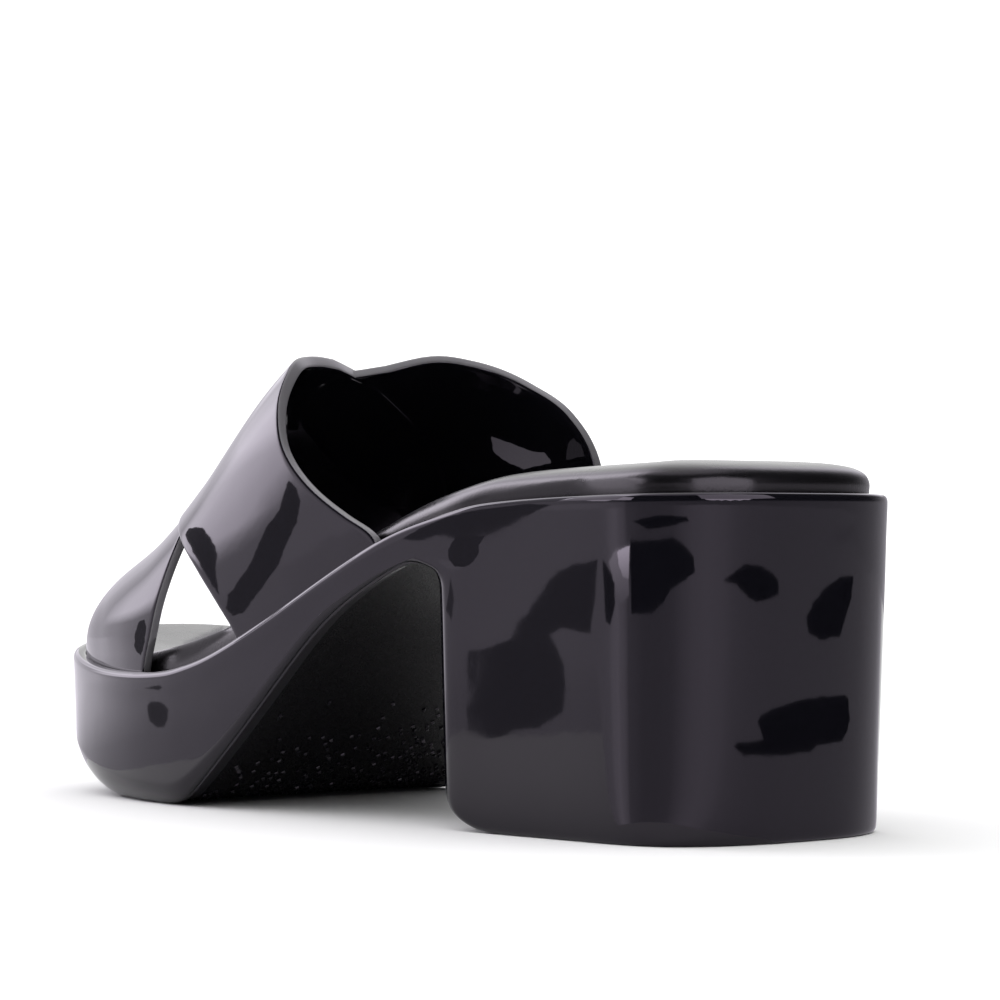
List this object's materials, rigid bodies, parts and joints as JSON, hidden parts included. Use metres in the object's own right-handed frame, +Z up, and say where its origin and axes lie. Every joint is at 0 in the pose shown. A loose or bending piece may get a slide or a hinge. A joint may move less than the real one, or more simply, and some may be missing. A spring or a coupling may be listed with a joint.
{
  "type": "platform mule",
  "caption": "Backless platform mule with a moulded sole and block heel, a padded insole and crossed bands over the instep that leave the toe open.",
  "frame": {"origin": "on the floor under the middle of the shoe's box", "axes": "+X from the heel to the toe, +Y to the wearer's left, which is the outer side, +Z up"},
  "size_m": [0.2396, 0.0906, 0.1053],
  "materials": {
    "sole": "high gloss moulded black, fine tread on the underside",
    "insole": "semi-gloss black pad with a fine grain",
    "upper": "high gloss moulded black bands with a beaded edge"
  },
  "bodies": {
    "root": {"sole": "sole", "insole": "insole", "upper": "upper"}
  },
  "joints": []
}
